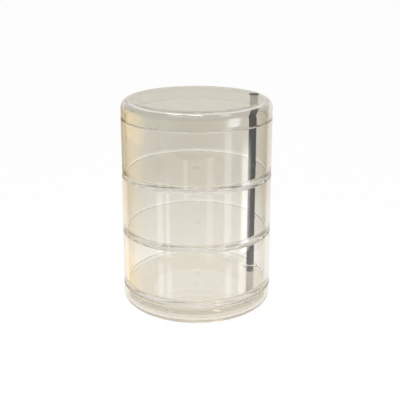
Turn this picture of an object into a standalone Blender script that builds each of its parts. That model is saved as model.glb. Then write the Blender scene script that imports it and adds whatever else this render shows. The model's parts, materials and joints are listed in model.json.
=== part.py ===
"""Clear rotating makeup organizer: a base, three round trays and a lid on one steel rod.

The rod stands close to the wall, so each tray and the lid swing out sideways round it.
Sizes are in metres, +Z is up, the origin is the middle of the base's underside and the rod
stands on +X.
"""
import math

import bmesh
import bpy

# Round shells
TRAY_RADIUS = 0.0500        # outside of the trays and the lid
WALL = 0.0026               # side walls
FLOOR = 0.0026              # floors of the trays and the base, and the lid's top
TRAY_HEIGHT = 0.0381        # foot to rim
LOWER_TRAY_HEIGHT = 0.0372
FOOT_RADIUS = 0.0022        # rounding under a tray's outer edge
CORNER_RADIUS = 0.0020      # rounding between a tray's floor and its wall
RIM_CHAMFER = 0.0004        # broken edges of a rim

# Base
BASE_STEP = 0.00025         # base wall proud of the trays
BASE_HEIGHT = 0.0122
BASE_EDGE_RADIUS = 0.0050   # rounding under the base
DECK_THICKNESS = 0.0033
DECK_DROP = 0.0024          # deck's top under the base's rim
LEDGE_WIDTH = 0.0010        # step in the base wall that the deck lies on

# Lid
LID_HEIGHT = 0.0122
LID_EDGE_RADIUS = 0.0060    # rounding round the lid's top

# Moulding mark at the middle of each floor
GATE_RADIUS = 0.0018
GATE_RING = 0.0006          # width of its raised ring
GATE_HEIGHT = 0.00025

# Rod and cap
ROD_RADIUS = 0.00275
ROD_CHAMFER = 0.0003
ROD_TO_WALL = 0.00435       # free space between the rod and the trays' walls
BOSS_RADIUS = 0.0050        # low boss round the rod's hole in the lower tray's floor
BOSS_HEIGHT = 0.0022
PIN_RADIUS = 0.0013         # shank of the rod's cap, and pin on the deck
PIN_LENGTH = 0.0050         # how deep the shank and the pin reach into the rod
CAP_RADIUS = 0.0033
CAP_HEIGHT = 0.0009
CAP_SINK = 0.0006           # how deep the cap's head sits in the lid

GAP = 0.0003                # between neighbouring pieces

# Facets
SHELL_STEPS = 96
ROD_STEPS = 32
ARC_STEPS = 3
SEAM_MERGE = 0.000001

# What follows from the sizes above
BASE_RADIUS = TRAY_RADIUS + BASE_STEP
BORE_RADIUS = ROD_RADIUS + GAP
PIN_HOLE_RADIUS = PIN_RADIUS + GAP
ROD_X = TRAY_RADIUS - WALL - ROD_TO_WALL - ROD_RADIUS
DECK_TOP = BASE_HEIGHT - DECK_DROP
DECK_BOTTOM = DECK_TOP - DECK_THICKNESS
LOWER_FOOT = BASE_HEIGHT + GAP
MIDDLE_FOOT = LOWER_FOOT + LOWER_TRAY_HEIGHT + GAP
UPPER_FOOT = MIDDLE_FOOT + TRAY_HEIGHT + GAP
LID_BOTTOM = UPPER_FOOT + TRAY_HEIGHT + GAP
LID_TOP = LID_BOTTOM + LID_HEIGHT
ROD_BOTTOM = DECK_TOP + GAP
ROD_TOP = LID_TOP - FLOOR - GAP


def clear_scene():
    for old in list(bpy.data.objects):
        bpy.data.objects.remove(old, do_unlink=True)


def make_collection(name):
    collection = bpy.data.collections.new(name)
    bpy.context.scene.collection.children.link(collection)
    return collection


def make_material(name, colour, roughness, metallic, transmission):
    material = bpy.data.materials.new(name)
    material.use_nodes = True
    shader = material.node_tree.nodes["Principled BSDF"]
    shader.inputs["Base Color"].default_value = (*colour, 1.0)
    shader.inputs["Roughness"].default_value = roughness
    shader.inputs["Metallic"].default_value = metallic
    shader.inputs["Transmission Weight"].default_value = transmission
    return material


def arc(centre_r, centre_z, radius, start_deg, end_deg):
    """Points of a rounding, end points included."""
    points = []
    for step in range(ARC_STEPS + 1):
        angle = math.radians(start_deg + (end_deg - start_deg) * step / ARC_STEPS)
        points.append((centre_r + radius * math.cos(angle), centre_z + radius * math.sin(angle)))
    return points


def turned(name, profile, steps, collection):
    """A solid turned round the object's own Z from (radius, height) points."""
    mesh = bpy.data.meshes.new(name)
    vertices = [(radius, 0.0, height) for radius, height in profile]
    edges = [(index, index + 1) for index in range(len(profile) - 1)]
    mesh.from_pydata(vertices, edges, [])
    piece = bpy.data.objects.new(name, mesh)
    collection.objects.link(piece)
    screw = piece.modifiers.new("turn", "SCREW")
    screw.angle = math.tau
    screw.steps = steps
    screw.render_steps = steps
    screw.use_merge_vertices = True
    screw.merge_threshold = SEAM_MERGE
    screw.use_smooth_shade = True
    return piece


def helper_cylinder(name, radius, bottom, top, x):
    """A round cutter or a round form that a union adds."""
    mesh = bpy.data.meshes.new(name)
    form = bmesh.new()
    bmesh.ops.create_cone(
        form, cap_ends=True, segments=ROD_STEPS, radius1=radius, radius2=radius, depth=top - bottom
    )
    form.to_mesh(mesh)
    form.free()
    helper = bpy.data.objects.new(name, mesh)
    helper.location = (x, 0.0, (bottom + top) / 2)
    hide_helper(helper)
    return helper


def hide_helper(helper):
    CUTTERS.objects.link(helper)
    helper.hide_render = True
    helper.display_type = "WIRE"


def combine(piece, helper, operation):
    boolean = piece.modifiers.new(helper.name, "BOOLEAN")
    boolean.operation = operation
    boolean.solver = "EXACT"
    boolean.object = helper


def paint(piece, material):
    piece.data.materials.append(material)


def hang_on_rod(piece, name):
    """Parent a moving piece to an empty on the rod's axis."""
    pivot = bpy.data.objects.new(name + "_pivot", None)
    PARTS.objects.link(pivot)
    pivot.location = (ROD_X, 0.0, 0.0)
    piece.parent = pivot
    piece.location = (-ROD_X, 0.0, 0.0)


def gate_mark(height):
    """Profile of the raised ring at the middle of a floor, from the axis outwards."""
    inner = GATE_RADIUS - GATE_RING
    return [
        (0.0, height),
        (inner, height),
        (inner, height + GATE_HEIGHT),
        (GATE_RADIUS, height + GATE_HEIGHT),
        (GATE_RADIUS, height),
    ]


def rim(inner_radius, outer_radius, height):
    """Profile over a rim, from the inner wall to the outer wall."""
    return [
        (inner_radius, height - RIM_CHAMFER),
        (inner_radius + RIM_CHAMFER, height),
        (outer_radius - RIM_CHAMFER, height),
        (outer_radius, height - RIM_CHAMFER),
    ]


def add_base():
    seat = BASE_RADIUS - WALL
    inside = seat - LEDGE_WIDTH
    round_in = max(BASE_EDGE_RADIUS - WALL, CORNER_RADIUS)
    profile = gate_mark(FLOOR)
    profile += arc(inside - round_in, FLOOR + round_in, round_in, -90, 0)
    profile += [(inside, DECK_BOTTOM - GAP), (seat, DECK_BOTTOM - GAP)]
    profile += rim(seat, BASE_RADIUS, BASE_HEIGHT)
    profile += arc(BASE_RADIUS - BASE_EDGE_RADIUS, BASE_EDGE_RADIUS, BASE_EDGE_RADIUS, 0, -90)
    profile += [(0.0, 0.0)]
    base = turned("base", profile, SHELL_STEPS, PARTS)
    paint(base, CLEAR)


def add_deck():
    """A plate that the rod stands on, with a pin that holds the rod's end."""
    radius = BASE_RADIUS - WALL - GAP
    profile = [
        (0.0, DECK_TOP),
        (radius - RIM_CHAMFER, DECK_TOP),
        (radius, DECK_TOP - RIM_CHAMFER),
        (radius, DECK_BOTTOM + RIM_CHAMFER),
        (radius - RIM_CHAMFER, DECK_BOTTOM),
        (0.0, DECK_BOTTOM),
    ]
    deck = turned("base_deck", profile, SHELL_STEPS, PARTS)
    pin = helper_cylinder(
        "deck_pin", PIN_RADIUS, DECK_TOP - DECK_THICKNESS / 2, ROD_BOTTOM + PIN_LENGTH, ROD_X
    )
    combine(deck, pin, "UNION")
    paint(deck, CLEAR)


def add_tray(name, foot, height, boss_height):
    """One tray: floor and wall turned round its middle, with a hole for the rod."""
    top = foot + height
    inside = TRAY_RADIUS - WALL
    floor_top = foot + FLOOR
    profile = gate_mark(floor_top)
    profile += arc(inside - CORNER_RADIUS, floor_top + CORNER_RADIUS, CORNER_RADIUS, -90, 0)
    profile += rim(inside, TRAY_RADIUS, top)
    profile += arc(TRAY_RADIUS - FOOT_RADIUS, foot + FOOT_RADIUS, FOOT_RADIUS, 0, -90)
    profile += [(0.0, foot)]
    tray = turned(name, profile, SHELL_STEPS, PARTS)
    hang_on_rod(tray, name)
    if boss_height > 0.0:
        boss = helper_cylinder(
            name + "_boss", BOSS_RADIUS, foot + FLOOR / 2, floor_top + boss_height, ROD_X
        )
        combine(tray, boss, "UNION")
    bore = helper_cylinder(name + "_bore", BORE_RADIUS, foot - FLOOR, top, ROD_X)
    combine(tray, bore, "DIFFERENCE")
    paint(tray, CLEAR)


def add_lid():
    inside = TRAY_RADIUS - WALL
    under = LID_TOP - FLOOR
    round_in = max(LID_EDGE_RADIUS - WALL, CORNER_RADIUS)
    profile = [(0.0, LID_TOP)]
    profile += arc(
        TRAY_RADIUS - LID_EDGE_RADIUS, LID_TOP - LID_EDGE_RADIUS, LID_EDGE_RADIUS, 90, 0
    )
    profile += [
        (TRAY_RADIUS, LID_BOTTOM + RIM_CHAMFER),
        (TRAY_RADIUS - RIM_CHAMFER, LID_BOTTOM),
        (inside + RIM_CHAMFER, LID_BOTTOM),
        (inside, LID_BOTTOM + RIM_CHAMFER),
    ]
    profile += arc(inside - round_in, under - round_in, round_in, 0, 90)
    profile += [(0.0, under)]
    lid = turned("lid", profile, SHELL_STEPS, PARTS)
    hang_on_rod(lid, "lid")
    hole = helper_cylinder("lid_hole", PIN_HOLE_RADIUS, under - FLOOR, LID_TOP + FLOOR, ROD_X)
    sink = helper_cylinder(
        "lid_sink", CAP_RADIUS + GAP, LID_TOP - CAP_SINK - GAP, LID_TOP + FLOOR, ROD_X
    )
    combine(lid, hole, "DIFFERENCE")
    combine(lid, sink, "DIFFERENCE")
    paint(lid, CLEAR)


def add_rod():
    """A plain rod with a blind hole in each end."""
    hole = PIN_LENGTH + GAP
    profile = [
        (0.0, ROD_TOP - hole),
        (PIN_HOLE_RADIUS, ROD_TOP - hole),
        (PIN_HOLE_RADIUS, ROD_TOP),
        (ROD_RADIUS - ROD_CHAMFER, ROD_TOP),
        (ROD_RADIUS, ROD_TOP - ROD_CHAMFER),
        (ROD_RADIUS, ROD_BOTTOM + ROD_CHAMFER),
        (ROD_RADIUS - ROD_CHAMFER, ROD_BOTTOM),
        (PIN_HOLE_RADIUS, ROD_BOTTOM),
        (PIN_HOLE_RADIUS, ROD_BOTTOM + hole),
        (0.0, ROD_BOTTOM + hole),
    ]
    rod = turned("pivot_rod", profile, ROD_STEPS, PARTS)
    rod.location = (ROD_X, 0.0, 0.0)
    paint(rod, STEEL)


def add_rod_cap():
    """Low head in the lid's top, with a shank down into the rod."""
    seat = LID_TOP - CAP_SINK
    top = seat + CAP_HEIGHT
    profile = [
        (0.0, top),
        (CAP_RADIUS - ROD_CHAMFER, top),
        (CAP_RADIUS, top - ROD_CHAMFER),
        (CAP_RADIUS, seat),
        (PIN_RADIUS, seat),
        (PIN_RADIUS, ROD_TOP - PIN_LENGTH),
        (0.0, ROD_TOP - PIN_LENGTH),
    ]
    cap = turned("rod_cap", profile, ROD_STEPS, PARTS)
    cap.location = (ROD_X, 0.0, 0.0)
    paint(cap, STEEL)


clear_scene()
PARTS = make_collection("rotating_makeup_organizer")
CUTTERS = make_collection("cutters")
CLEAR = make_material("clear_plastic", (0.86, 0.84, 0.79), 0.05, 0.0, 1.0)
STEEL = make_material("polished_steel", (0.36, 0.36, 0.37), 0.18, 1.0, 0.0)

add_base()
add_deck()
add_tray("lower_tray", LOWER_FOOT, LOWER_TRAY_HEIGHT, BOSS_HEIGHT)
add_tray("middle_tray", MIDDLE_FOOT, TRAY_HEIGHT, 0.0)
add_tray("upper_tray", UPPER_FOOT, TRAY_HEIGHT, 0.0)
add_lid()
add_rod()
add_rod_cap()
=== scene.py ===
# %% [markdown]
# Clear rotating makeup organizer
#
# The real object is a stack of moulded clear plastic: a base, three round trays and a lid, all
# threaded on one dark polished steel rod close to the wall. Almost everything that the eye reads
# comes from refraction in real wall thickness, so each moulding is modelled again here with a
# fine round wall, true floors and true edge roundings, in the place that the frame gives.

# %% Load the frame
import json
import math

import bmesh
import bpy
from mathutils import Matrix, Vector


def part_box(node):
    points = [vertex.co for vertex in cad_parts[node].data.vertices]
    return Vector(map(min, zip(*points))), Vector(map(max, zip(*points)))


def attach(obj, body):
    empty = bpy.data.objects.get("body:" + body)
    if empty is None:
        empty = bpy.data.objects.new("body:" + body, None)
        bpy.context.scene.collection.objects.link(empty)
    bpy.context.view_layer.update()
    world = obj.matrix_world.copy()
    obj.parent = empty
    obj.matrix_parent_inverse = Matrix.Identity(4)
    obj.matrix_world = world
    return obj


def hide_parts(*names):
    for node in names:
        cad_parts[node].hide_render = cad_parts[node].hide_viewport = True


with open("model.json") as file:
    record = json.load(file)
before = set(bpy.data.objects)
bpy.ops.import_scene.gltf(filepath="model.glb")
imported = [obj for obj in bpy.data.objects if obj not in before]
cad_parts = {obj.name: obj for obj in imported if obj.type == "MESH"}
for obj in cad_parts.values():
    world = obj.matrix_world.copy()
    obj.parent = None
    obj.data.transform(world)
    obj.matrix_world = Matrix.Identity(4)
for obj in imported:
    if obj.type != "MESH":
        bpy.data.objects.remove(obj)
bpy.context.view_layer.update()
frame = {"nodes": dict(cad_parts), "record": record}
print("nodes:", ", ".join(sorted(frame["nodes"])))

# %% [markdown]
# The camera comes first, so that every later step can be looked at from the right place. Its
# place, lens and tilt were fitted to the outline of the stack and to the rings at the seams.
# The stack leaves the middle of the picture a little, which a small lens shift takes up. The
# rod stands on +X in the frame and 17 degrees behind the right-hand side in the picture, so the
# camera stands 17 degrees round to the left.

# %% Camera
PICTURE = 400
SENSOR = 36.0
FOCAL_PIXELS = 782.0
AXIS_COLUMN = 196.6
AXIS_ROW = 164.0
CAMERA_AROUND = math.radians(-17.2)
CAMERA_DISTANCE = 0.5056
CAMERA_HEIGHT = 0.2329
CAMERA_TILT = math.radians(15.4)


def place_around(azimuth, distance, height):
    """A point at an azimuth, in degrees to the right of the camera, seen from the stack."""
    angle = CAMERA_AROUND + math.radians(azimuth)
    return Vector((distance * math.sin(angle), -distance * math.cos(angle), height))


camera_data = bpy.data.cameras.new("camera")
camera = bpy.data.objects.new("camera", camera_data)
bpy.context.scene.collection.objects.link(camera)
camera_data.sensor_width = SENSOR
camera_data.lens = FOCAL_PIXELS / PICTURE * SENSOR
camera_data.shift_x = 0.5 - AXIS_COLUMN / PICTURE
camera_data.shift_y = AXIS_ROW / PICTURE - 0.5
camera_data.clip_start = 0.01
camera.location = place_around(0.0, CAMERA_DISTANCE, CAMERA_HEIGHT)
camera.rotation_euler = (math.pi / 2 - CAMERA_TILT, 0.0, CAMERA_AROUND)
bpy.context.scene.camera = camera
bpy.context.scene.view_settings.view_transform = "Standard"
print("lens in mm:", round(camera_data.lens, 1))

# %% [markdown]
# Every moulding here is round, so each one starts as a cylinder, as on a lathe. 192 sides keep
# the refraction in the wall smooth, where a coarser wall would show as upright facets. Operators
# act on whatever is selected, so everything is deselected first.

# %% Start a piece
SIDES = 192


def clear_selection():
    if bpy.context.object and bpy.context.object.mode != "OBJECT":
        bpy.ops.object.mode_set(mode="OBJECT")
    bpy.ops.object.select_all(action="DESELECT")


def select_only(piece):
    clear_selection()
    piece.select_set(True)
    bpy.context.view_layer.objects.active = piece


def start_round(name, radius, bottom, top, sides=SIDES):
    """A closed cylinder round the Z axis, ready in edit mode."""
    clear_selection()
    bpy.ops.mesh.primitive_cylinder_add(
        vertices=sides, radius=radius, depth=top - bottom, location=(0, 0, (bottom + top) / 2)
    )
    piece = bpy.context.object
    piece.name = name
    bpy.ops.object.transform_apply(location=True, rotation=True, scale=True)
    bpy.ops.object.mode_set(mode="EDIT")
    return piece


print("sides of a round wall:", SIDES)

# %% [markdown]
# A mesh has no names for its faces and edges, but their height, radius and normal say which they
# are. So faces and edge loops are picked by where they lie, a pocket is sunk into a flat face by
# inset and extrude, and edge loops are rounded by a bevel.

# %% Shape a piece
TINY = 0.00002
FACES_UP = 0.9


def pick_faces(piece, wanted):
    bpy.ops.mesh.select_mode(type="FACE")
    bpy.ops.mesh.select_all(action="DESELECT")
    form = bmesh.from_edit_mesh(piece.data)
    for face in form.faces:
        face.select_set(wanted(face.calc_center_median(), face.normal))
    bmesh.update_edit_mesh(piece.data)


def pick_cap(piece, height, facing, reach=1.0):
    """Pick the flat face at a height that faces up (1) or down (-1), nearer than reach."""
    pick_faces(
        piece,
        lambda middle, normal: abs(middle.z - height) < TINY
        and normal.z * facing > FACES_UP
        and middle.xy.length < reach,
    )


def sink(piece, height, facing, width, new_height):
    """Inset the cap at a height by a width and move the inner face to a new height."""
    pick_cap(piece, height, facing, reach=TINY)
    bpy.ops.mesh.inset(thickness=width)
    bpy.ops.mesh.extrude_region_move(
        TRANSFORM_OT_translate={"value": (0, 0, new_height - height)}
    )


def round_loops(piece, places, radius, segments):
    """Round the edge loops that lie at (radius, height) places."""
    bpy.ops.mesh.select_mode(type="EDGE")
    bpy.ops.mesh.select_all(action="DESELECT")
    form = bmesh.from_edit_mesh(piece.data)

    def on_place(point):
        return any(
            abs(point.xy.length - r) < 2 * TINY and abs(point.z - z) < TINY for r, z in places
        )

    for edge in form.edges:
        edge.select_set(all(on_place(vertex.co) for vertex in edge.verts))
    bmesh.update_edit_mesh(piece.data)
    bpy.ops.mesh.bevel(
        offset=radius, segments=segments, profile=0.5, affect="EDGES", clamp_overlap=False
    )


print("places match within mm:", TINY * 1000)

# %% [markdown]
# A hole or a boss that stands away from the middle breaks the rings of the cylinder. The knife
# tool needs a window, so a boolean modifier cuts or joins it and is applied. The last helper gives
# smooth shading to the roundings and keeps the flat faces flat.

# %% Join, cut and finish
SMOOTH_BELOW = math.radians(30)


def combine(piece, tool, operation):
    """Join or cut with another mesh, and remove that mesh."""
    select_only(piece)
    modifier = piece.modifiers.new(tool.name, "BOOLEAN")
    modifier.operation = operation
    modifier.solver = "EXACT"
    modifier.object = tool
    bpy.ops.object.modifier_apply(modifier=modifier.name)
    bpy.data.objects.remove(tool)


def finish_surface(piece):
    """Smooth shading that keeps flat faces flat and true edges sharp."""
    select_only(piece)
    bpy.ops.object.shade_smooth_by_angle(angle=SMOOTH_BELOW)
    modifier = piece.modifiers.new("weighted", "WEIGHTED_NORMAL")
    modifier.keep_sharp = True
    bpy.ops.object.modifier_apply(modifier=modifier.name)
    print(piece.name, "faces:", len(piece.data.polygons))


print("shading turns sharp above degrees:", round(math.degrees(SMOOTH_BELOW)))

# %% [markdown]
# Sizes. The outside of each piece comes from the frame, so nothing can drift from it. What the
# frame's boxes don't say, such as the thickness of a wall or the gap between two pieces, is named
# here, in metres as in the frame.

# %% Sizes
WALL = 0.0026
FLOOR = 0.0026
GAP = 0.0003
RIM_RADIUS = 0.0004
RIM_SEGMENTS = 3


def extent(node):
    """Outside radius, bottom and top of a round node."""
    low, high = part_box(node)
    return (high.x - low.x) / 2, low.z, high.z


for node in sorted(frame["nodes"]):
    print(node, "radius, bottom, top in mm:", [round(size * 1000, 1) for size in extent(node)])

# %% [markdown]
# The rod stands close to the wall. A piece that belongs to it, and the tool that cuts a hole for
# it, are made round the Z axis, where they are easy to shape, and then moved to the rod.

# %% Place of the rod
ROD_SIDES = 96
rod_low, rod_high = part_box("pivot_rod")
ROD_X = (rod_low.x + rod_high.x) / 2
BORE_RADIUS = extent("pivot_rod")[0] + GAP


def move_to_rod(piece):
    """Put a piece that was made round the Z axis on the rod's axis."""
    select_only(piece)
    bpy.ops.transform.translate(value=(ROD_X, 0, 0))
    bpy.ops.object.transform_apply(location=True, rotation=True, scale=True)


def rod_cylinder(name, radius, bottom, top):
    tool = start_round(name, radius, bottom, top, ROD_SIDES)
    move_to_rod(tool)
    return tool


print("rod stands at x in mm:", round(ROD_X * 1000, 2))

# %% [markdown]
# A tray is a cylinder whose top is sunk to make the inside. Its foot has an outer rounding and
# its corner an inner one, and both bend the light into the pale and dark lines at the seams. The
# floor carries the small raised ring that the moulding gate leaves, and a hole for the rod. The
# lower tray has a low boss round its hole, whose flat top shows as a pale ring across the rod.

# %% Trays
FOOT_RADIUS = 0.0022
FOOT_SEGMENTS = 8
CORNER_RADIUS = 0.0020
CORNER_SEGMENTS = 6
GATE_RADIUS = 0.0024
GATE_RING = 0.0006
GATE_HEIGHT = 0.0005
BOSS_RADIUS = 0.0050
BOSS_HEIGHT = 0.0022
TRAY_PIECES = {}


def gate_mark(piece, floor_height, floor_radius):
    """Raise the low ring in the middle of a floor."""
    pick_cap(piece, floor_height, 1, reach=TINY)
    bpy.ops.mesh.inset(thickness=floor_radius - GATE_RADIUS)
    bpy.ops.mesh.inset(thickness=GATE_RING)
    inner = GATE_RADIUS - GATE_RING
    pick_faces(
        piece,
        lambda middle, normal: abs(middle.z - floor_height) < TINY
        and normal.z > FACES_UP
        and inner < middle.xy.length < GATE_RADIUS,
    )
    bpy.ops.mesh.extrude_region_move(TRANSFORM_OT_translate={"value": (0, 0, GATE_HEIGHT)})


def model_tray(node, boss_height):
    radius, foot, rim = extent(node)
    inside = radius - WALL
    floor_height = foot + FLOOR
    piece = start_round(node + "_shell", radius, foot, rim)
    sink(piece, rim, 1, WALL, floor_height)
    gate_mark(piece, floor_height, inside)
    round_loops(piece, [(inside, floor_height)], CORNER_RADIUS, CORNER_SEGMENTS)
    round_loops(piece, [(radius, rim), (inside, rim)], RIM_RADIUS, RIM_SEGMENTS)
    round_loops(piece, [(radius, foot)], FOOT_RADIUS, FOOT_SEGMENTS)
    if boss_height > 0:
        boss_bottom = floor_height - FLOOR / 2
        boss = rod_cylinder("boss", BOSS_RADIUS, boss_bottom, floor_height + boss_height)
        combine(piece, boss, "UNION")
    bore = rod_cylinder("bore", BORE_RADIUS, foot - FLOOR, rim + FLOOR)
    combine(piece, bore, "DIFFERENCE")
    finish_surface(piece)
    return piece


for node, boss_height in (("lower_tray", BOSS_HEIGHT), ("middle_tray", 0), ("upper_tray", 0)):
    TRAY_PIECES[node] = model_tray(node, boss_height)

# %% [markdown]
# The lid is the same idea upside down: the underside is sunk, and the outer edge of the top
# gets the large rounding that catches the light. The inner rounding has the same centre, so the
# wall keeps its thickness round the corner. A shallow round seat takes the rod's cap.

# %% Lid
LID_EDGE_RADIUS = 0.0060
LID_EDGE_SEGMENTS = 16
LID_CORNER_SEGMENTS = 10
PIN_RADIUS = 0.0013
PIN_HOLE_RADIUS = PIN_RADIUS + GAP
CAP_SINK = 0.0006


def model_lid():
    radius, bottom, top = extent("lid")
    inside = radius - WALL
    under = top - FLOOR
    piece = start_round("lid_shell", radius, bottom, top)
    sink(piece, bottom, -1, WALL, under)
    round_loops(piece, [(inside, under)], LID_EDGE_RADIUS - WALL, LID_CORNER_SEGMENTS)
    round_loops(piece, [(radius, bottom), (inside, bottom)], RIM_RADIUS, RIM_SEGMENTS)
    round_loops(piece, [(radius, top)], LID_EDGE_RADIUS, LID_EDGE_SEGMENTS)
    combine(piece, rod_cylinder("hole", PIN_HOLE_RADIUS, under - FLOOR, top + FLOOR), "DIFFERENCE")
    cap_radius = extent("rod_cap")[0]
    seat = top - CAP_SINK - GAP
    combine(piece, rod_cylinder("seat", cap_radius + GAP, seat, top + FLOOR), "DIFFERENCE")
    finish_surface(piece)
    return piece


LID_PIECES = {"lid": model_lid()}

# %% [markdown]
# The base is a shallow dish with a ledge in its wall. Two pockets make it, a wide one down to the
# ledge and a narrower one down to the floor, because each pocket leaves a flat ring behind.

# %% Base
BASE_EDGE_RADIUS = 0.0050
BASE_EDGE_SEGMENTS = 14
LEDGE_WIDTH = 0.0010


def model_base():
    radius, bottom, top = extent("base")
    deck_bottom = extent("base_deck")[1]
    seat = radius - WALL
    inside = seat - LEDGE_WIDTH
    ledge = deck_bottom - GAP
    piece = start_round("base_shell", radius, bottom, top)
    sink(piece, top, 1, WALL, ledge)
    sink(piece, ledge, 1, LEDGE_WIDTH, FLOOR)
    gate_mark(piece, FLOOR, inside)
    round_loops(piece, [(inside, FLOOR)], BASE_EDGE_RADIUS - WALL, CORNER_SEGMENTS)
    round_loops(piece, [(radius, top), (seat, top)], RIM_RADIUS, RIM_SEGMENTS)
    round_loops(piece, [(radius, bottom)], BASE_EDGE_RADIUS, BASE_EDGE_SEGMENTS)
    finish_surface(piece)
    return piece


BASE_PIECES = {"base": model_base()}

# %% [markdown]
# The deck is a plate that lies on the ledge. Seen through the wall, it and the base make the pale
# and dark bands under the lowest tray. The rod stands on it, and a pin on it holds the rod's end.

# %% Deck
DECK_THICKNESS = 0.0033


def model_deck():
    radius, bottom, pin_top = extent("base_deck")
    top = bottom + DECK_THICKNESS
    piece = start_round("base_deck_plate", radius, bottom, top)
    round_loops(piece, [(radius, top), (radius, bottom)], RIM_RADIUS, RIM_SEGMENTS)
    combine(piece, rod_cylinder("pin", PIN_RADIUS, top - DECK_THICKNESS / 2, pin_top), "UNION")
    finish_surface(piece)
    return piece


DECK_PIECES = {"base_deck": model_deck()}

# %% [markdown]
# The metal: the rod with a hole in each end, and the low cap that shows on the lid. The cap's
# pin is drawn out of its underside, by an inset to the pin's radius and an extrusion.

# %% Rod and cap
PIN_LENGTH = 0.0050
ROD_CHAMFER = 0.0003
ROD_CHAMFER_SEGMENTS = 3
CAP_CHAMFER_SEGMENTS = 4
STEEL_PIECES = {}


def model_rod():
    radius, bottom, top = extent("pivot_rod")
    piece = start_round("pivot_rod_bar", radius, bottom, top, ROD_SIDES)
    hole = PIN_LENGTH + GAP
    sink(piece, top, 1, radius - PIN_HOLE_RADIUS, top - hole)
    sink(piece, bottom, -1, radius - PIN_HOLE_RADIUS, bottom + hole)
    round_loops(piece, [(radius, top), (radius, bottom)], ROD_CHAMFER, ROD_CHAMFER_SEGMENTS)
    return piece


def model_cap():
    radius, pin_end, top = extent("rod_cap")
    seat = extent("lid")[2] - CAP_SINK
    piece = start_round("rod_cap_head", radius, seat, top, ROD_SIDES)
    pick_cap(piece, seat, -1, reach=TINY)
    bpy.ops.mesh.inset(thickness=radius - PIN_RADIUS)
    bpy.ops.mesh.extrude_region_move(TRANSFORM_OT_translate={"value": (0, 0, pin_end - seat)})
    round_loops(piece, [(radius, top)], ROD_CHAMFER, CAP_CHAMFER_SEGMENTS)
    return piece


STEEL_PIECES["pivot_rod"] = model_rod()
STEEL_PIECES["rod_cap"] = model_cap()
for piece in STEEL_PIECES.values():
    move_to_rod(piece)
    finish_surface(piece)

# %% [markdown]
# Three plastics share two effects, the moulded skin and the tint with its painted shade, so each
# effect is a node group that is built once and placed in each material with its own values. This
# helper makes an empty group with named sockets.

# %% Node group helper


def new_group(name, inputs, outputs):
    """A shader node group with its input and output nodes."""
    group = bpy.data.node_groups.new(name, "ShaderNodeTree")
    for socket_name, socket_type, value in inputs:
        socket = group.interface.new_socket(socket_name, in_out="INPUT", socket_type=socket_type)
        if value is not None:
            socket.default_value = value
    for socket_name, socket_type in outputs:
        group.interface.new_socket(socket_name, in_out="OUTPUT", socket_type=socket_type)
    start = group.nodes.new("NodeGroupInput")
    end = group.nodes.new("NodeGroupOutput")
    return group, start, end


print("node groups so far:", len(bpy.data.node_groups))

# %% [markdown]
# The skin of the real mouldings is nearly perfect: a slow waviness from the mould, drawn out
# along the wall, and a few faint marks from handling, which are a little rougher than the rest.
# Two noise textures make them, because neither has a shape that one could draw.

# %% Moulded skin
SKIN_WAVE_STRETCH = (1.0, 1.0, 0.12)


def make_skin_group():
    """Moulded skin: faint marks in the roughness and a slow waviness in the height."""
    group, start, end = new_group(
        "moulded_skin",
        [
            ("Vector", "NodeSocketVector", None),
            ("Smooth", "NodeSocketFloat", 0.0),
            ("Marked", "NodeSocketFloat", 0.05),
        ],
        [
            ("Roughness", "NodeSocketFloat"),
            ("Height", "NodeSocketFloat"),
        ],
    )
    nodes = group.nodes
    links = group.links
    marks = nodes.new("ShaderNodeTexNoise")
    marks.inputs["Scale"].default_value = 60.0
    marks.inputs["Detail"].default_value = 4.0
    marks.inputs["Roughness"].default_value = 0.6
    links.new(start.outputs["Vector"], marks.inputs["Vector"])
    mask = nodes.new("ShaderNodeMapRange")
    mask.inputs["From Min"].default_value = 0.56
    mask.inputs["From Max"].default_value = 0.72
    links.new(marks.outputs["Fac"], mask.inputs["Value"])
    rough = nodes.new("ShaderNodeMapRange")
    links.new(mask.outputs["Result"], rough.inputs["Value"])
    links.new(start.outputs["Smooth"], rough.inputs["To Min"])
    links.new(start.outputs["Marked"], rough.inputs["To Max"])
    links.new(rough.outputs["Result"], end.inputs["Roughness"])
    stretch = nodes.new("ShaderNodeMapping")
    stretch.inputs["Scale"].default_value = SKIN_WAVE_STRETCH
    links.new(start.outputs["Vector"], stretch.inputs["Vector"])
    waves = nodes.new("ShaderNodeTexNoise")
    waves.inputs["Scale"].default_value = 110.0
    waves.inputs["Detail"].default_value = 1.0
    links.new(stretch.outputs["Vector"], waves.inputs["Vector"])
    links.new(waves.outputs["Fac"], end.inputs["Height"])
    return group


SKIN_GROUP = make_skin_group()
print("group:", SKIN_GROUP.name)

# %% [markdown]
# The plastic is faintly warm, and the eye sees it deepen towards the top and where the wall turns
# away, while floors and roundings stay pale. The deepening towards the top is painted shade, for
# the light lost where more layers lie behind each other. A colour by height, by the turn of the
# wall and by the distance from the axis gives each of these its own colour.

# %% Layer tint and painted shade
CLOUD_SHARE = 0.02
LOW_EDGE_SHARE = 0.65


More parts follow.
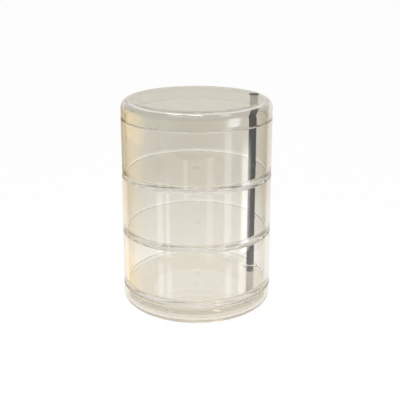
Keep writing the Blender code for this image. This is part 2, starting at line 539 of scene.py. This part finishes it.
def make_tint_and_shade_group():
    """Tint of the wall by turn, tint and painted shade by height, and colours of their own for
    roundings and floors.
    """
    group, start, end = new_group(
        "layer_tint_and_shade",
        [
            ("Vector", "NodeSocketVector", None),
            ("Low Colour", "NodeSocketColor", (1, 1, 1, 1)),
            ("High Colour", "NodeSocketColor", (1, 1, 1, 1)),
            ("Floor Colour", "NodeSocketColor", (1, 1, 1, 1)),
            ("Rounded Colour", "NodeSocketColor", (1, 1, 1, 1)),
            ("Upright", "NodeSocketFloat", 1.0),
            ("Edge Colour", "NodeSocketColor", (1, 1, 1, 1)),
            ("Edge", "NodeSocketFloat", 0.0),
            ("Low Height", "NodeSocketFloat", 0.0),
            ("High Height", "NodeSocketFloat", 0.1),
            ("Floor Radius", "NodeSocketFloat", 0.05),
        ],
        [("Colour", "NodeSocketColor")],
    )
    nodes = group.nodes
    links = group.links
    split = nodes.new("ShaderNodeSeparateXYZ")
    links.new(start.outputs["Vector"], split.inputs["Vector"])
    # The height is made a little uneven, so that the tint changes along no straight line.
    cloud = nodes.new("ShaderNodeTexNoise")
    cloud.inputs["Scale"].default_value = 35.0
    cloud.inputs["Detail"].default_value = 2.0
    links.new(start.outputs["Vector"], cloud.inputs["Vector"])
    uneven = nodes.new("ShaderNodeMath")
    uneven.operation = "MULTIPLY_ADD"
    uneven.inputs[1].default_value = CLOUD_SHARE
    links.new(cloud.outputs["Fac"], uneven.inputs[0])
    links.new(split.outputs["Z"], uneven.inputs[2])
    # The wall's colour goes from the low one to the high one, which is darker by painted shade.
    share = nodes.new("ShaderNodeMapRange")
    share.interpolation_type = "SMOOTHSTEP"
    links.new(uneven.outputs["Value"], share.inputs["Value"])
    links.new(start.outputs["Low Height"], share.inputs["From Min"])
    links.new(start.outputs["High Height"], share.inputs["From Max"])
    blend = nodes.new("ShaderNodeMix")
    blend.data_type = "RGBA"
    links.new(share.outputs["Result"], blend.inputs["Factor"])
    links.new(start.outputs["Low Colour"], blend.inputs[6])
    links.new(start.outputs["High Colour"], blend.inputs[7])
    # The edge colour deepens it where the wall turns away, and more so higher up, where the
    # painted shade is deeper.
    higher = nodes.new("ShaderNodeMapRange")
    higher.inputs["To Min"].default_value = LOW_EDGE_SHARE
    higher.inputs["To Max"].default_value = 1.0
    links.new(share.outputs["Result"], higher.inputs["Value"])
    amount = nodes.new("ShaderNodeMath")
    amount.operation = "MULTIPLY"
    links.new(start.outputs["Edge"], amount.inputs[0])
    links.new(higher.outputs["Result"], amount.inputs[1])
    edge = nodes.new("ShaderNodeMix")
    edge.data_type = "RGBA"
    edge.blend_type = "MULTIPLY"
    links.new(amount.outputs["Value"], edge.inputs["Factor"])
    links.new(blend.outputs[2], edge.inputs[6])
    links.new(start.outputs["Edge Colour"], edge.inputs[7])
    # Roundings take their own colour, and so does everything near the axis, which is floor.
    outside = nodes.new("ShaderNodeMix")
    outside.data_type = "RGBA"
    links.new(start.outputs["Upright"], outside.inputs["Factor"])
    links.new(start.outputs["Rounded Colour"], outside.inputs[6])
    links.new(edge.outputs[2], outside.inputs[7])
    across = nodes.new("ShaderNodeCombineXYZ")
    links.new(split.outputs["X"], across.inputs["X"])
    links.new(split.outputs["Y"], across.inputs["Y"])
    radius = nodes.new("ShaderNodeVectorMath")
    radius.operation = "LENGTH"
    links.new(across.outputs["Vector"], radius.inputs[0])
    on_wall = nodes.new("ShaderNodeMath")
    on_wall.operation = "GREATER_THAN"
    links.new(radius.outputs["Value"], on_wall.inputs[0])
    links.new(start.outputs["Floor Radius"], on_wall.inputs[1])
    place = nodes.new("ShaderNodeMix")
    place.data_type = "RGBA"
    links.new(on_wall.outputs["Value"], place.inputs["Factor"])
    links.new(start.outputs["Floor Colour"], place.inputs[6])
    links.new(outside.outputs[2], place.inputs[7])
    links.new(place.outputs[2], end.inputs["Colour"])
    return group


TINT_AND_SHADE_GROUP = make_tint_and_shade_group()
print("group:", TINT_AND_SHADE_GROUP.name)

# %% [markdown]
# Clear plastic. Glossy walls with real thickness refract by themselves, so the shader is full
# transmission with the index of a clear moulding plastic. A weak absorption inside adds colour
# where light travels far in the wall. Shadow rays go straight through with a slight tint, because
# light that had to find its way through so many layers would leave a black shadow.

# %% Clear plastic
PLASTIC_IOR = 1.5
SHADE_START_HEIGHT = 0.045
SHADE_FULL_HEIGHT = 0.105
EDGE_TINT = (0.78, 0.68, 0.50, 1.0)
EDGE_STARTS = 0.48
EDGE_FULL = 0.75
UPRIGHT_TILT = 0.1
DEPTH_TINT = (0.67, 0.63, 0.56, 1.0)
DEPTH_DENSITY = 8.0
MARKED_ROUGHNESS = 0.03
SHADOW_TINT = (0.95, 0.94, 0.92, 1.0)


def clear_plastic(name, low_tint, high_tint_and_shade, rounding_tint_and_shade, floor_tint, floor_radius):
    """Solid clear plastic with the layer tint and painted shade, and the moulded skin."""
    material = bpy.data.materials.new(name)
    material.use_nodes = True
    nodes = material.node_tree.nodes
    links = material.node_tree.links
    shader = nodes["Principled BSDF"]
    output = nodes["Material Output"]
    shader.inputs["Transmission Weight"].default_value = 1.0
    shader.inputs["IOR"].default_value = PLASTIC_IOR
    place = nodes.new("ShaderNodeTexCoord")
    # The group gives the colour: the tint, darkened by painted shade towards the top and on the
    # darker roundings.
    tint = nodes.new("ShaderNodeGroup")
    tint.node_tree = TINT_AND_SHADE_GROUP
    tint.inputs["Low Colour"].default_value = low_tint
    tint.inputs["High Colour"].default_value = high_tint_and_shade
    tint.inputs["Rounded Colour"].default_value = rounding_tint_and_shade
    tint.inputs["Floor Colour"].default_value = floor_tint
    tint.inputs["Floor Radius"].default_value = floor_radius
    tint.inputs["Low Height"].default_value = SHADE_START_HEIGHT
    tint.inputs["High Height"].default_value = SHADE_FULL_HEIGHT
    tint.inputs["Edge Colour"].default_value = EDGE_TINT
    # Where the wall turns away from the eye, the way through it is longer and the tint deeper.
    facing = nodes.new("ShaderNodeLayerWeight")
    facing.inputs["Blend"].default_value = 0.5
    edge = nodes.new("ShaderNodeMapRange")
    edge.inputs["From Min"].default_value = EDGE_STARTS
    edge.inputs["From Max"].default_value = EDGE_FULL
    links.new(facing.outputs["Facing"], edge.inputs["Value"])
    # A face whose normal lies level belongs to an upright wall and not to a rounding.
    tilt = nodes.new("ShaderNodeSeparateXYZ")
    links.new(place.outputs["Normal"], tilt.inputs["Vector"])
    upright = nodes.new("ShaderNodeMath")
    upright.operation = "COMPARE"
    upright.inputs[1].default_value = 0.0
    upright.inputs[2].default_value = UPRIGHT_TILT
    links.new(tilt.outputs["Z"], upright.inputs[0])
    links.new(upright.outputs["Value"], tint.inputs["Upright"])
    links.new(edge.outputs["Result"], tint.inputs["Edge"])
    links.new(place.outputs["Object"], tint.inputs["Vector"])
    links.new(tint.outputs["Colour"], shader.inputs["Base Color"])
    skin = nodes.new("ShaderNodeGroup")
    skin.node_tree = SKIN_GROUP
    skin.inputs["Smooth"].default_value = 0.0
    skin.inputs["Marked"].default_value = MARKED_ROUGHNESS
    links.new(place.outputs["Object"], skin.inputs["Vector"])
    links.new(skin.outputs["Roughness"], shader.inputs["Roughness"])
    bump = nodes.new("ShaderNodeBump")
    bump.inputs["Strength"].default_value = 0.15
    bump.inputs["Distance"].default_value = 0.0001
    links.new(skin.outputs["Height"], bump.inputs["Height"])
    links.new(bump.outputs["Normal"], shader.inputs["Normal"])
    depth = nodes.new("ShaderNodeVolumeAbsorption")
    depth.inputs["Color"].default_value = DEPTH_TINT
    depth.inputs["Density"].default_value = DEPTH_DENSITY
    links.new(depth.outputs["Volume"], output.inputs["Volume"])
    rays = nodes.new("ShaderNodeLightPath")
    let_through = nodes.new("ShaderNodeBsdfTransparent")
    let_through.inputs["Color"].default_value = SHADOW_TINT
    choose = nodes.new("ShaderNodeMixShader")
    links.new(rays.outputs["Is Shadow Ray"], choose.inputs["Fac"])
    links.new(shader.outputs["BSDF"], choose.inputs[1])
    links.new(let_through.outputs["BSDF"], choose.inputs[2])
    links.new(choose.outputs["Shader"], output.inputs["Surface"])
    return material


print("index of the plastic:", PLASTIC_IOR)

# %% [markdown]
# Trays, lid and base are the same plastic, but the real lid looks greyer, with a darker rounding,
# and the base stays pale between its two dark bands. So each has its own tints and the radius
# within which it counts as floor. The lid's grey, its darker rounding and the base's darker
# roundings, which make the two dark bands, are painted shade, as is the trays' darker high colour.

# %% Three plastics
LOW_TINT = (0.945, 0.935, 0.90, 1.0)
# Painted shade: the high colour is darker, for the light lost through the layers behind.
HIGH_TINT_AND_SHADE = (0.78, 0.757, 0.693, 1.0)
TRAY_ROUNDING_TINT = (1.0, 0.995, 0.985, 1.0)
FLOOR_TINT = (0.95, 0.94, 0.91, 1.0)
TRAY_FLOOR_RADIUS = 0.046
# Painted shade: the lid's colour and its rounding's colour are darker.
LID_TINT_AND_SHADE = (0.73, 0.71, 0.64, 1.0)
LID_ROUNDING_SHADE = (0.66, 0.64, 0.59, 1.0)
DISC_TINT = (0.86, 0.847, 0.823, 1.0)
BASE_TINT = (0.90, 0.88, 0.83, 1.0)
# Painted shade: the base's roundings are darker, which makes its two dark bands.
BASE_ROUNDING_SHADE = (0.85, 0.81, 0.73, 1.0)
BASE_FLOOR_RADIUS = 0.030
TRAY_PLASTIC = clear_plastic(
    "tray_plastic", LOW_TINT, HIGH_TINT_AND_SHADE, TRAY_ROUNDING_TINT, FLOOR_TINT, TRAY_FLOOR_RADIUS
)
LID_PLASTIC = clear_plastic(
    "lid_plastic", LID_TINT_AND_SHADE, LID_TINT_AND_SHADE, LID_ROUNDING_SHADE, DISC_TINT, TRAY_FLOOR_RADIUS
)
BASE_PLASTIC = clear_plastic(
    "base_plastic", BASE_TINT, BASE_TINT, BASE_ROUNDING_SHADE, FLOOR_TINT, BASE_FLOOR_RADIUS
)
print("plastics:", [plastic.name for plastic in (TRAY_PLASTIC, LID_PLASTIC, BASE_PLASTIC)])

# %% [markdown]
# Polished steel. On the real rod it is dark, because it mirrors a dark room, and drawing the bar
# left fine lines along it. Here everything round it is white, so the dark room's reflection is
# painted into the metal's colour, and noise that is drawn out along the bar makes the lines. The
# upper part of a real rod mirrors less of the pale table, so a painted shade darkens it with
# height.

# %% Steel
# Painted reflection: both line colours are kept dark for the dark room that the rod mirrors.
DARK_LINE = (0.045, 0.047, 0.05, 1.0)
PALE_LINE = (0.10, 0.10, 0.10, 1.0)
# Painted shade: the colour darkens towards the top.
TOP_SHADE = (0.35, 0.35, 0.35, 1.0)
LIGHT_STEEL_HEIGHT = 0.02
DARK_STEEL_HEIGHT = 0.11
LINE_STRETCH = (1.0, 1.0, 0.03)


def polished_steel(name):
    material = bpy.data.materials.new(name)
    material.use_nodes = True
    nodes = material.node_tree.nodes
    links = material.node_tree.links
    shader = nodes["Principled BSDF"]
    shader.inputs["Metallic"].default_value = 1.0
    place = nodes.new("ShaderNodeTexCoord")
    stretch = nodes.new("ShaderNodeMapping")
    stretch.inputs["Scale"].default_value = LINE_STRETCH
    links.new(place.outputs["Object"], stretch.inputs["Vector"])
    lines = nodes.new("ShaderNodeTexNoise")
    lines.inputs["Scale"].default_value = 2200.0
    lines.inputs["Detail"].default_value = 3.0
    links.new(stretch.outputs["Vector"], lines.inputs["Vector"])
    colour = nodes.new("ShaderNodeValToRGB")
    colour.color_ramp.elements[0].color = DARK_LINE
    colour.color_ramp.elements[1].color = PALE_LINE
    links.new(lines.outputs["Fac"], colour.inputs["Fac"])
    # Painted shade: the colour darkens with height.
    split = nodes.new("ShaderNodeSeparateXYZ")
    links.new(place.outputs["Object"], split.inputs["Vector"])
    height = nodes.new("ShaderNodeMapRange")
    height.inputs["From Min"].default_value = LIGHT_STEEL_HEIGHT
    height.inputs["From Max"].default_value = DARK_STEEL_HEIGHT
    links.new(split.outputs["Z"], height.inputs["Value"])
    darker = nodes.new("ShaderNodeMix")
    darker.data_type = "RGBA"
    darker.blend_type = "MULTIPLY"
    darker.inputs[7].default_value = TOP_SHADE
    links.new(height.outputs["Result"], darker.inputs["Factor"])
    links.new(colour.outputs["Color"], darker.inputs[6])
    links.new(darker.outputs[2], shader.inputs["Base Color"])
    rough = nodes.new("ShaderNodeMapRange")
    rough.inputs["To Min"].default_value = 0.12
    rough.inputs["To Max"].default_value = 0.30
    links.new(lines.outputs["Fac"], rough.inputs["Value"])
    links.new(rough.outputs["Result"], shader.inputs["Roughness"])
    bump = nodes.new("ShaderNodeBump")
    bump.inputs["Strength"].default_value = 0.15
    bump.inputs["Distance"].default_value = 0.00002
    links.new(lines.outputs["Fac"], bump.inputs["Height"])
    links.new(bump.outputs["Normal"], shader.inputs["Normal"])
    return material


STEEL = polished_steel("polished_steel")
print("metal:", STEEL.name)

# %% [markdown]
# The holes of the upper two trays run tight on the rod. Their walls get a painted shade, a dark
# colour that hides the mirror that a clear hole would make round the rod. The painted shade is a
# second material on the faces of the hole, so the shape of the tray stays as it is.

# %% Painted shade in the holes
# Painted shade: dark colours for the walls of the holes.
BORE_SHADE_DARK = (0.03, 0.03, 0.032, 1.0)
BORE_SHADE_PALE = (0.08, 0.08, 0.08, 1.0)
ON_THE_BORE = 0.0001
LEVEL = 0.1


def painted_bore_shade(name):
    material = bpy.data.materials.new(name)
    material.use_nodes = True
    nodes = material.node_tree.nodes
    links = material.node_tree.links
    shader = nodes["Principled BSDF"]
    place = nodes.new("ShaderNodeTexCoord")
    # Faint unevenness in the painted shade.
    shade_noise = nodes.new("ShaderNodeTexNoise")
    shade_noise.inputs["Scale"].default_value = 900.0
    shade_noise.inputs["Detail"].default_value = 3.0
    links.new(place.outputs["Object"], shade_noise.inputs["Vector"])
    colour = nodes.new("ShaderNodeValToRGB")
    colour.color_ramp.elements[0].color = BORE_SHADE_DARK
    colour.color_ramp.elements[1].color = BORE_SHADE_PALE
    links.new(shade_noise.outputs["Fac"], colour.inputs["Fac"])
    links.new(colour.outputs["Color"], shader.inputs["Base Color"])
    rough = nodes.new("ShaderNodeMapRange")
    rough.inputs["To Min"].default_value = 0.45
    rough.inputs["To Max"].default_value = 0.75
    links.new(shade_noise.outputs["Fac"], rough.inputs["Value"])
    links.new(rough.outputs["Result"], shader.inputs["Roughness"])
    return material


BORE_SHADE = painted_bore_shade("painted_bore_shade")


def shade_bore(piece):
    """Give the wall of a tray's hole the painted shade."""
    piece.data.materials.append(BORE_SHADE)
    shaded = 0
    for face in piece.data.polygons:
        offset = face.center.xy - Vector((ROD_X, 0))
        if abs(offset.length - BORE_RADIUS) < ON_THE_BORE and abs(face.normal.z) < LEVEL:
            face.material_index = 1
            shaded += 1
    print(piece.name, "rubbed faces:", shaded)


print("film:", BORE_SHADE.name)

# %% [markdown]
# Each new piece takes its material, takes the place of its node, whose part is hidden, and rides
# on the body that the frame gives for that node, so a layer swings with all that belongs to it.
# The deck is clear plastic as the trays are.

# %% Dress and attach
body_of_node = {}
for body, nodes in frame["record"]["behaviour"]["bodies"].items():
    for node in nodes:
        body_of_node[node] = body


def dress(pieces, material):
    """Give pieces, named by their nodes, a material and the body that they ride on."""
    for node, piece in pieces.items():
        piece.data.materials.clear()
        piece.data.materials.append(material)
        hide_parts(node)
        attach(piece, body_of_node[node])
        print(piece.name, "rides on", body_of_node[node])


dress(TRAY_PIECES, TRAY_PLASTIC)
dress(DECK_PIECES, TRAY_PLASTIC)
dress(BASE_PIECES, BASE_PLASTIC)
dress(LID_PIECES, LID_PLASTIC)
dress(STEEL_PIECES, STEEL)
# The holes of the upper two trays get the painted shade.
for node in ("middle_tray", "upper_tray"):
    shade_bore(TRAY_PIECES[node])

# %% [markdown]
# The studio: a plain white floor and backdrop. Rays from the camera, from gloss and through the
# plastic all meet the same white, and the rest of the light stays at a plain level. The floor
# glows for these rays alone, and what it lacks to full glow leaves room for the soft shadow. It
# lies a hair under the base, because two faces in one place would show as spots.

# %% Floor and backdrop
FLOOR_SIZE = 8
FLOOR_DROP = 0.0002
FLOOR_COLOUR = (0.9, 0.9, 0.9, 1.0)
FLOOR_GLOW = 0.96
ROOM_LIGHT = 0.5
WHITE = (1.0, 1.0, 1.0, 1.0)


def sees_backdrop(nodes, links):
    """1 for rays that look at the backdrop directly, in a mirror or through clear plastic."""
    rays = nodes.new("ShaderNodeLightPath")
    first = nodes.new("ShaderNodeMath")
    first.operation = "MAXIMUM"
    links.new(rays.outputs["Is Camera Ray"], first.inputs[0])
    links.new(rays.outputs["Is Glossy Ray"], first.inputs[1])
    second = nodes.new("ShaderNodeMath")
    second.operation = "MAXIMUM"
    links.new(first.outputs["Value"], second.inputs[0])
    links.new(rays.outputs["Is Transmission Ray"], second.inputs[1])
    return second.outputs["Value"]


def white_floor():
    clear_selection()
    bpy.ops.mesh.primitive_plane_add(size=FLOOR_SIZE, location=(0, 0, -FLOOR_DROP))
    floor = bpy.context.object
    floor.name = "floor"
    material = bpy.data.materials.new("white_floor")
    material.use_nodes = True
    nodes = material.node_tree.nodes
    links = material.node_tree.links
    shader = nodes["Principled BSDF"]
    shader.inputs["Base Color"].default_value = FLOOR_COLOUR
    shader.inputs["Roughness"].default_value = 0.9
    glow = nodes.new("ShaderNodeEmission")
    glow.inputs["Color"].default_value = WHITE
    share = nodes.new("ShaderNodeMath")
    share.operation = "MULTIPLY"
    share.inputs[1].default_value = FLOOR_GLOW
    links.new(sees_backdrop(nodes, links), share.inputs[0])
    choose = nodes.new("ShaderNodeMixShader")
    links.new(share.outputs["Value"], choose.inputs["Fac"])
    links.new(shader.outputs["BSDF"], choose.inputs[1])
    links.new(glow.outputs["Emission"], choose.inputs[2])
    links.new(choose.outputs["Shader"], nodes["Material Output"].inputs["Surface"])
    floor.data.materials.append(material)


def white_world():
    world = bpy.data.worlds.new("studio")
    bpy.context.scene.world = world
    world.use_nodes = True
    nodes = world.node_tree.nodes
    links = world.node_tree.links
    background = nodes["Background"]
    level = nodes.new("ShaderNodeMapRange")
    level.inputs["To Min"].default_value = ROOM_LIGHT
    level.inputs["To Max"].default_value = 1.0
    links.new(sees_backdrop(nodes, links), level.inputs["Value"])
    background.inputs["Color"].default_value = WHITE
    links.new(level.outputs["Result"], background.inputs["Strength"])


white_floor()
white_world()
print("share of the floor that glows:", FLOOR_GLOW)

# %% [markdown]
# Soft lamps. One wide lamp overhead gives the soft shadow under the stack. Three small bright ones
# stand in front, to the left and to the right, and the lid's rounding mirrors them as short
# highlights. Each line gives the lamp's azimuth, its distance from the middle, its height, its
# two sides, its brightness and its colour.

# %% Lamps
WARM_WHITE = (1.0, 0.99, 0.97)
COOL_WHITE = (0.85, 0.94, 1.0)


def softbox(name, azimuth, distance, height, width, tall, radiance, colour, aim=0.07):
    """A rectangular lamp whose surface has the given brightness."""
    data = bpy.data.lights.new(name, "AREA")
    data.shape = "RECTANGLE"
    data.size = width
    data.size_y = tall
    data.energy = radiance * math.pi * width * tall
    data.color = colour
    lamp = bpy.data.objects.new(name, data)
    bpy.context.scene.collection.objects.link(lamp)
    lamp.location = place_around(azimuth, distance, height)
    away = lamp.location - Vector((0, 0, aim))
    lamp.rotation_euler = away.to_track_quat("Z", "Y").to_euler()
    print(name, "watts:", round(data.energy, 2))


softbox("overhead", 180, 0.1, 1.0, 0.8, 0.8, 0.8, WARM_WHITE)
softbox("front_top", -6, 0.25, 0.75, 0.20, 0.10, 12.0, WARM_WHITE)
softbox("left_top", -62, 0.25, 0.75, 0.20, 0.10, 12.0, WARM_WHITE)
softbox("right_top", 56, 0.40, 0.60, 0.14, 0.14, 6.0, COOL_WHITE)

# %% [markdown]
# The long streaks down the real walls are mirror images of windows and walls in the room. Here
# tall reflectors stand close round the stack, out of the picture. Each one is placed from the
# part of the wall that shows it: the camera's ray is mirrored there, and the reflector stands
# where that ray ends.

# %% Where a reflector stands
REACH = 0.16
NEAR_REACH = 0.085
SHELL_RADIUS = extent("upper_tray")[0]


def mirrored_place(side, reach):
    """Where the wall looks at, from -1 at its left edge to 1 at its right edge."""
    turn = math.asin(side)
    start = Vector((SHELL_RADIUS * side, -SHELL_RADIUS * math.cos(turn), 0))
    away = Vector((math.sin(2 * turn), -math.cos(2 * turn), 0))
    along = start.dot(away)
    travel = math.sqrt(along * along - SHELL_RADIUS**2 + reach**2) - along
    return Matrix.Rotation(CAMERA_AROUND, 3, "Z") @ (start + travel * away)


for side in (-0.5, 0.5):
    seen = mirrored_place(side, REACH)
    print("the wall at", side, "looks at x and y in m:", round(seen.x, 3), round(seen.y, 3))

# %% [markdown]
# Only mirror rays see a reflector, so it lights nothing, casts no shadow and doesn't show through
# the clear walls. It fades out at its sides and its top, because the streaks in the real walls
# have soft edges. Visibility switches on the object do the first, and its UV map the second.

# %% Glow and soft edges
SOFT_SIDE = 0.35
SOFT_TOP = 0.3


def show_to_mirrors(plane, name, radiance, colour, through):
    """Make a plane glow for mirror rays, and for rays through the plastic if told so."""
    material = bpy.data.materials.new(name)
    material.use_nodes = True
    nodes = material.node_tree.nodes
    glow = nodes.new("ShaderNodeEmission")
    glow.inputs["Color"].default_value = (*colour, 1.0)
    glow.inputs["Strength"].default_value = radiance
    output = nodes["Material Output"]
    material.node_tree.links.new(glow.outputs["Emission"], output.inputs["Surface"])
    plane.data.materials.append(material)
    plane.visible_camera = False
    plane.visible_diffuse = False
    plane.visible_shadow = False
    plane.visible_transmission = through


def soften_edges(material):
    """Let a reflector fade out towards its sides and its top."""
    nodes = material.node_tree.nodes
    links = material.node_tree.links
    place = nodes.new("ShaderNodeTexCoord")
    split = nodes.new("ShaderNodeSeparateXYZ")
    links.new(place.outputs["UV"], split.inputs["Vector"])
    side = nodes.new("ShaderNodeMath")
    side.operation = "PINGPONG"
    side.inputs[1].default_value = 0.5
    links.new(split.outputs["X"], side.inputs[0])
    across = nodes.new("ShaderNodeMapRange")
    across.interpolation_type = "SMOOTHSTEP"
    across.inputs["From Max"].default_value = SOFT_SIDE
    links.new(side.outputs["Value"], across.inputs["Value"])
    upward = nodes.new("ShaderNodeMapRange")
    upward.interpolation_type = "SMOOTHSTEP"
    upward.inputs["From Min"].default_value = 1.0
    upward.inputs["From Max"].default_value = 1.0 - SOFT_TOP
    links.new(split.outputs["Y"], upward.inputs["Value"])
    share = nodes.new("ShaderNodeMath")
    share.operation = "MULTIPLY"
    links.new(across.outputs["Result"], share.inputs[0])
    links.new(upward.outputs["Result"], share.inputs[1])
    clear = nodes.new("ShaderNodeBsdfTransparent")
    choose = nodes.new("ShaderNodeMixShader")
    links.new(share.outputs["Value"], choose.inputs["Fac"])
    links.new(clear.outputs["BSDF"], choose.inputs[1])
    links.new(nodes["Emission"].outputs["Emission"], choose.inputs[2])
    links.new(choose.outputs["Shader"], nodes["Material Output"].inputs["Surface"])


print("share of a reflector that fades:", 2 * SOFT_SIDE, "across and", SOFT_TOP, "up")

# %% [markdown]
# A reflector spans from one part of the wall's view to another. Besides them there are two plain
# cards: one far behind the stack, for the lid and the rims, and a pale ceiling for the roundings
# that look up.

# %% Reflectors and cards


def reflector(name, left, right, bottom, top, radiance, colour, reach=REACH):
    """A reflector for the part of the wall from left to right, from -1 to 1 across it."""
    first = mirrored_place(left, reach)
    last = mirrored_place(right, reach)
    middle = (first + last) / 2
    clear_selection()
    bpy.ops.mesh.primitive_plane_add(size=1)
    plane = bpy.context.object
    plane.name = name
    plane.scale = ((last - first).length, top - bottom, 1)
    plane.location = (middle.x, middle.y, (bottom + top) / 2)
    facing = Vector((middle.x, middle.y, 0))
    plane.rotation_euler = facing.to_track_quat("Z", "Y").to_euler()
    show_to_mirrors(plane, name, radiance, colour, False)
    soften_edges(plane.active_material)
    print(name, "width in mm:", round((last - first).length * 1000))


def ceiling_card(name, size, height, radiance, colour):
    """A pale ceiling that mirror rays and rays through the plastic see."""
    clear_selection()
    bpy.ops.mesh.primitive_plane_add(size=size, location=(0, 0, height))
    plane = bpy.context.object
    plane.name = name
    show_to_mirrors(plane, name, radiance, colour, True)


def backdrop_card(name, azimuth, distance, bottom, top, width, colour):
    """A card with sharp edges that only mirror rays see."""
    clear_selection()
    bpy.ops.mesh.primitive_plane_add(size=1)
    plane = bpy.context.object
    plane.name = name
    plane.scale = (width, top - bottom, 1)
    plane.location = place_around(azimuth, distance, (bottom + top) / 2)
    facing = Vector((plane.location.x, plane.location.y, 0))
    plane.rotation_euler = facing.to_track_quat("Z", "Y").to_euler()
    show_to_mirrors(plane, name, 1.0, colour, False)


backdrop_card("back_card", 180, 0.6, 0.16, 0.60, 0.6, (0.60, 0.56, 0.45))
ceiling_card("ceiling", 2.4, 0.95, 1.1, WARM_WHITE)

# %% [markdown]
# The streaks in the middle and on the right are cool and white, as from windows. Each line gives
# the part of the wall that shows the reflector, its bottom and top in metres, its brightness and
# its colour. The camera looks down, so what the lowest tray mirrors soon meets the floor, and its
# reflectors stand nearer and are low. The last two are darker than the white backdrop, and shade
# the parts of the lid and of the right-hand wall that would mirror it.

# %% Streaks in the middle and on the right
WINDOW = (0.88, 0.95, 1.0)
BLUE_WINDOW = (0.78, 0.92, 1.0)
LEFT_STRIP = (0.94, 0.98, 1.0)
RIGHT_STRIP = (0.97, 0.98, 1.0)
PALE = (0.98, 0.98, 1.0)
reflector("left_strip", -0.53, -0.42, 0.0, 0.07, 3.8, LEFT_STRIP)
reflector("left_strip_low", -0.52, -0.41, 0.0, 0.03, 3.4, LEFT_STRIP, reach=NEAR_REACH)
reflector("left_thin", -0.41, -0.33, 0.0, 0.07, 3.2, PALE)
reflector("left_thin_low", -0.41, -0.30, 0.0, 0.03, 3.0, PALE, reach=NEAR_REACH)
reflector("pale_left", -0.18, -0.10, 0.05, 0.12, 2.6, PALE)
reflector("pale_right", 0.10, 0.24, 0.0, 0.12, 2.4, PALE)
reflector("right_window", 0.33, 0.47, 0.0, 0.13, 3.6, WINDOW)
reflector("right_window_low", 0.35, 0.48, 0.0, 0.03, 3.4, WINDOW, reach=NEAR_REACH)
reflector("lid_window", 0.36, 0.58, 0.103, 0.165, 8.0, BLUE_WINDOW)
reflector("right_strip", 0.55, 0.71, 0.0, 0.10, 7.0, RIGHT_STRIP)
reflector("right_strip_low", 0.52, 0.67, 0.0, 0.03, 4.6, RIGHT_STRIP, reach=NEAR_REACH)
reflector("lid_shade", -0.44, 0.36, 0.09, 0.165, 0.25, (0.95, 0.93, 0.86))
reflector("grey_right", 0.67, 0.94, 0.0, 0.165, 0.3, (0.95, 0.95, 0.9))

# %% [markdown]
# The left of the real stack is warm: a broad band of orange light, and a thin tan line at the
# very edge that turns to cream at the foot.

# %% Warm streaks on the left
reflector("warm_low", -0.97, -0.60, 0.0, 0.035, 1.8, (1.0, 0.66, 0.22), reach=NEAR_REACH)
reflector("warm_left", -0.94, -0.59, 0.0, 0.065, 1.2, (1.0, 0.67, 0.27))
reflector("warm_high", -0.93, -0.60, 0.055, 0.12, 2.2, (1.0, 0.74, 0.42))
reflector("warm_lid", -0.93, -0.60, 0.09, 0.165, 3.4, (1.0, 0.70, 0.27))
reflector("tan_left", -0.995, -0.87, 0.055, 0.165, 0.45, (1.0, 0.60, 0.05))
reflector("cream_left", -0.99, -0.86, 0.0, 0.065, 1.2, (1.0, 0.85, 0.60))

# %% [markdown]
# Seen from the camera, light crosses many clear walls, and each wall takes two bounces. With too
# few of them the paths end early and the seams turn black, so the limits go up.

# %% Light bounces
MOST_BOUNCES = 96
MOST_SEE_THROUGH = 32
scene = bpy.context.scene
scene.cycles.max_bounces = MOST_BOUNCES
scene.cycles.transmission_bounces = MOST_BOUNCES
scene.cycles.glossy_bounces = MOST_BOUNCES
scene.cycles.transparent_max_bounces = MOST_SEE_THROUGH
print("bounces:", MOST_BOUNCES)
